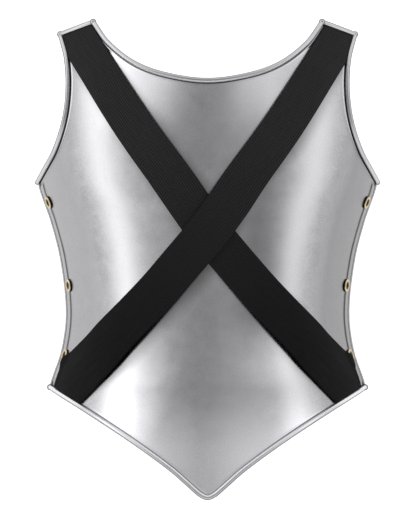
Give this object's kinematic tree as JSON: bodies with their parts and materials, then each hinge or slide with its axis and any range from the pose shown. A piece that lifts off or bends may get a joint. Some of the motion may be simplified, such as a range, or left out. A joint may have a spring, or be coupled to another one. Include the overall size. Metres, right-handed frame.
{
  "type": "steel cuirass breastplate",
  "caption": "Domed steel breastplate with rolled edges, pointed lower edge, crossed webbing straps over the front and brass side lacing eyelets.",
  "frame": {"origin": "on the plane that the plate's side edges rest on, under the middle of its outline; it lies on its back with the outer face up", "axes": "+X to the right seen from the front (the wearer's left), +Y towards the neck, +Z out of the chest"},
  "size_m": [0.3566, 0.486, 0.1354],
  "materials": {
    "steel": "satin brushed",
    "webbing": "matt woven webbing with lengthwise ribs",
    "brass": "satin, slightly dull"
  },
  "bodies": {
    "root": {"breastplate": "steel", "strap_under": "webbing", "strap_over": "webbing", "eyelet_left_upper": "brass", "eyelet_left_middle": "brass", "eyelet_left_lower": "brass", "eyelet_right_upper": "brass", "eyelet_right_middle": "brass", "eyelet_right_lower": "brass"}
  },
  "joints": []
}
